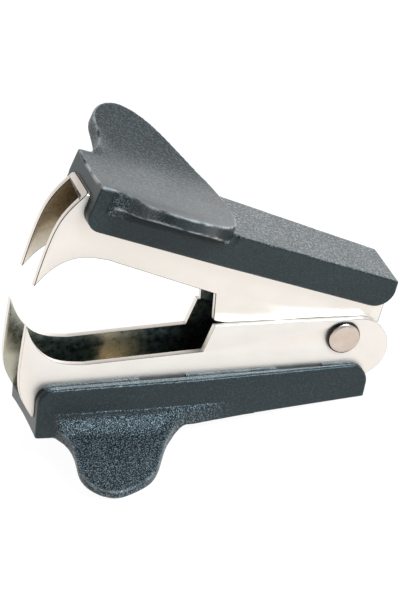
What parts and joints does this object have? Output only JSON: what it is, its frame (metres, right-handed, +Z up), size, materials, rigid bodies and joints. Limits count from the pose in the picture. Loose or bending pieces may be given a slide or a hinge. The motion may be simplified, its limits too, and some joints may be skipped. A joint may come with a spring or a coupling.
{
  "type": "staple remover",
  "caption": "Claw staple remover: two hinged steel channel jaws with pointed fangs, sprung open, in plastic thumb grips with swept ears.",
  "frame": {"origin": "middle of the footprint, on the surface that the remover stands on", "axes": "+Z up from the table; +X from the fangs back towards the pivot; Y across the jaws, along the pivot rivet"},
  "size_m": [0.0582, 0.0388, 0.0442],
  "materials": {
    "jaw_steel": "bright nickel-plated sheet steel",
    "rivet_steel": "satin nickel-plated rivet",
    "spring_wire": "drawn spring wire",
    "grip_plastic": "fine-textured charcoal moulded plastic"
  },
  "bodies": {
    "lower_half": {"lower_jaw": "jaw_steel", "lower_grip": "grip_plastic", "pivot_rivet": "rivet_steel", "torsion_spring": "spring_wire"},
    "upper_half": {"upper_jaw": "jaw_steel", "upper_grip": "grip_plastic"}
  },
  "joints": [
    {"name": "squeeze", "type": "hinge", "parent": "lower_half", "child": "upper_half", "pos_m": [0.02013, 0, 0.0102], "axis": [0, -1, 0], "range_deg": [0, 23], "stiffness_Nm_per_rad": 0.25, "springref_deg": -17.19, "deforming": ["torsion_spring"]}
  ]
}
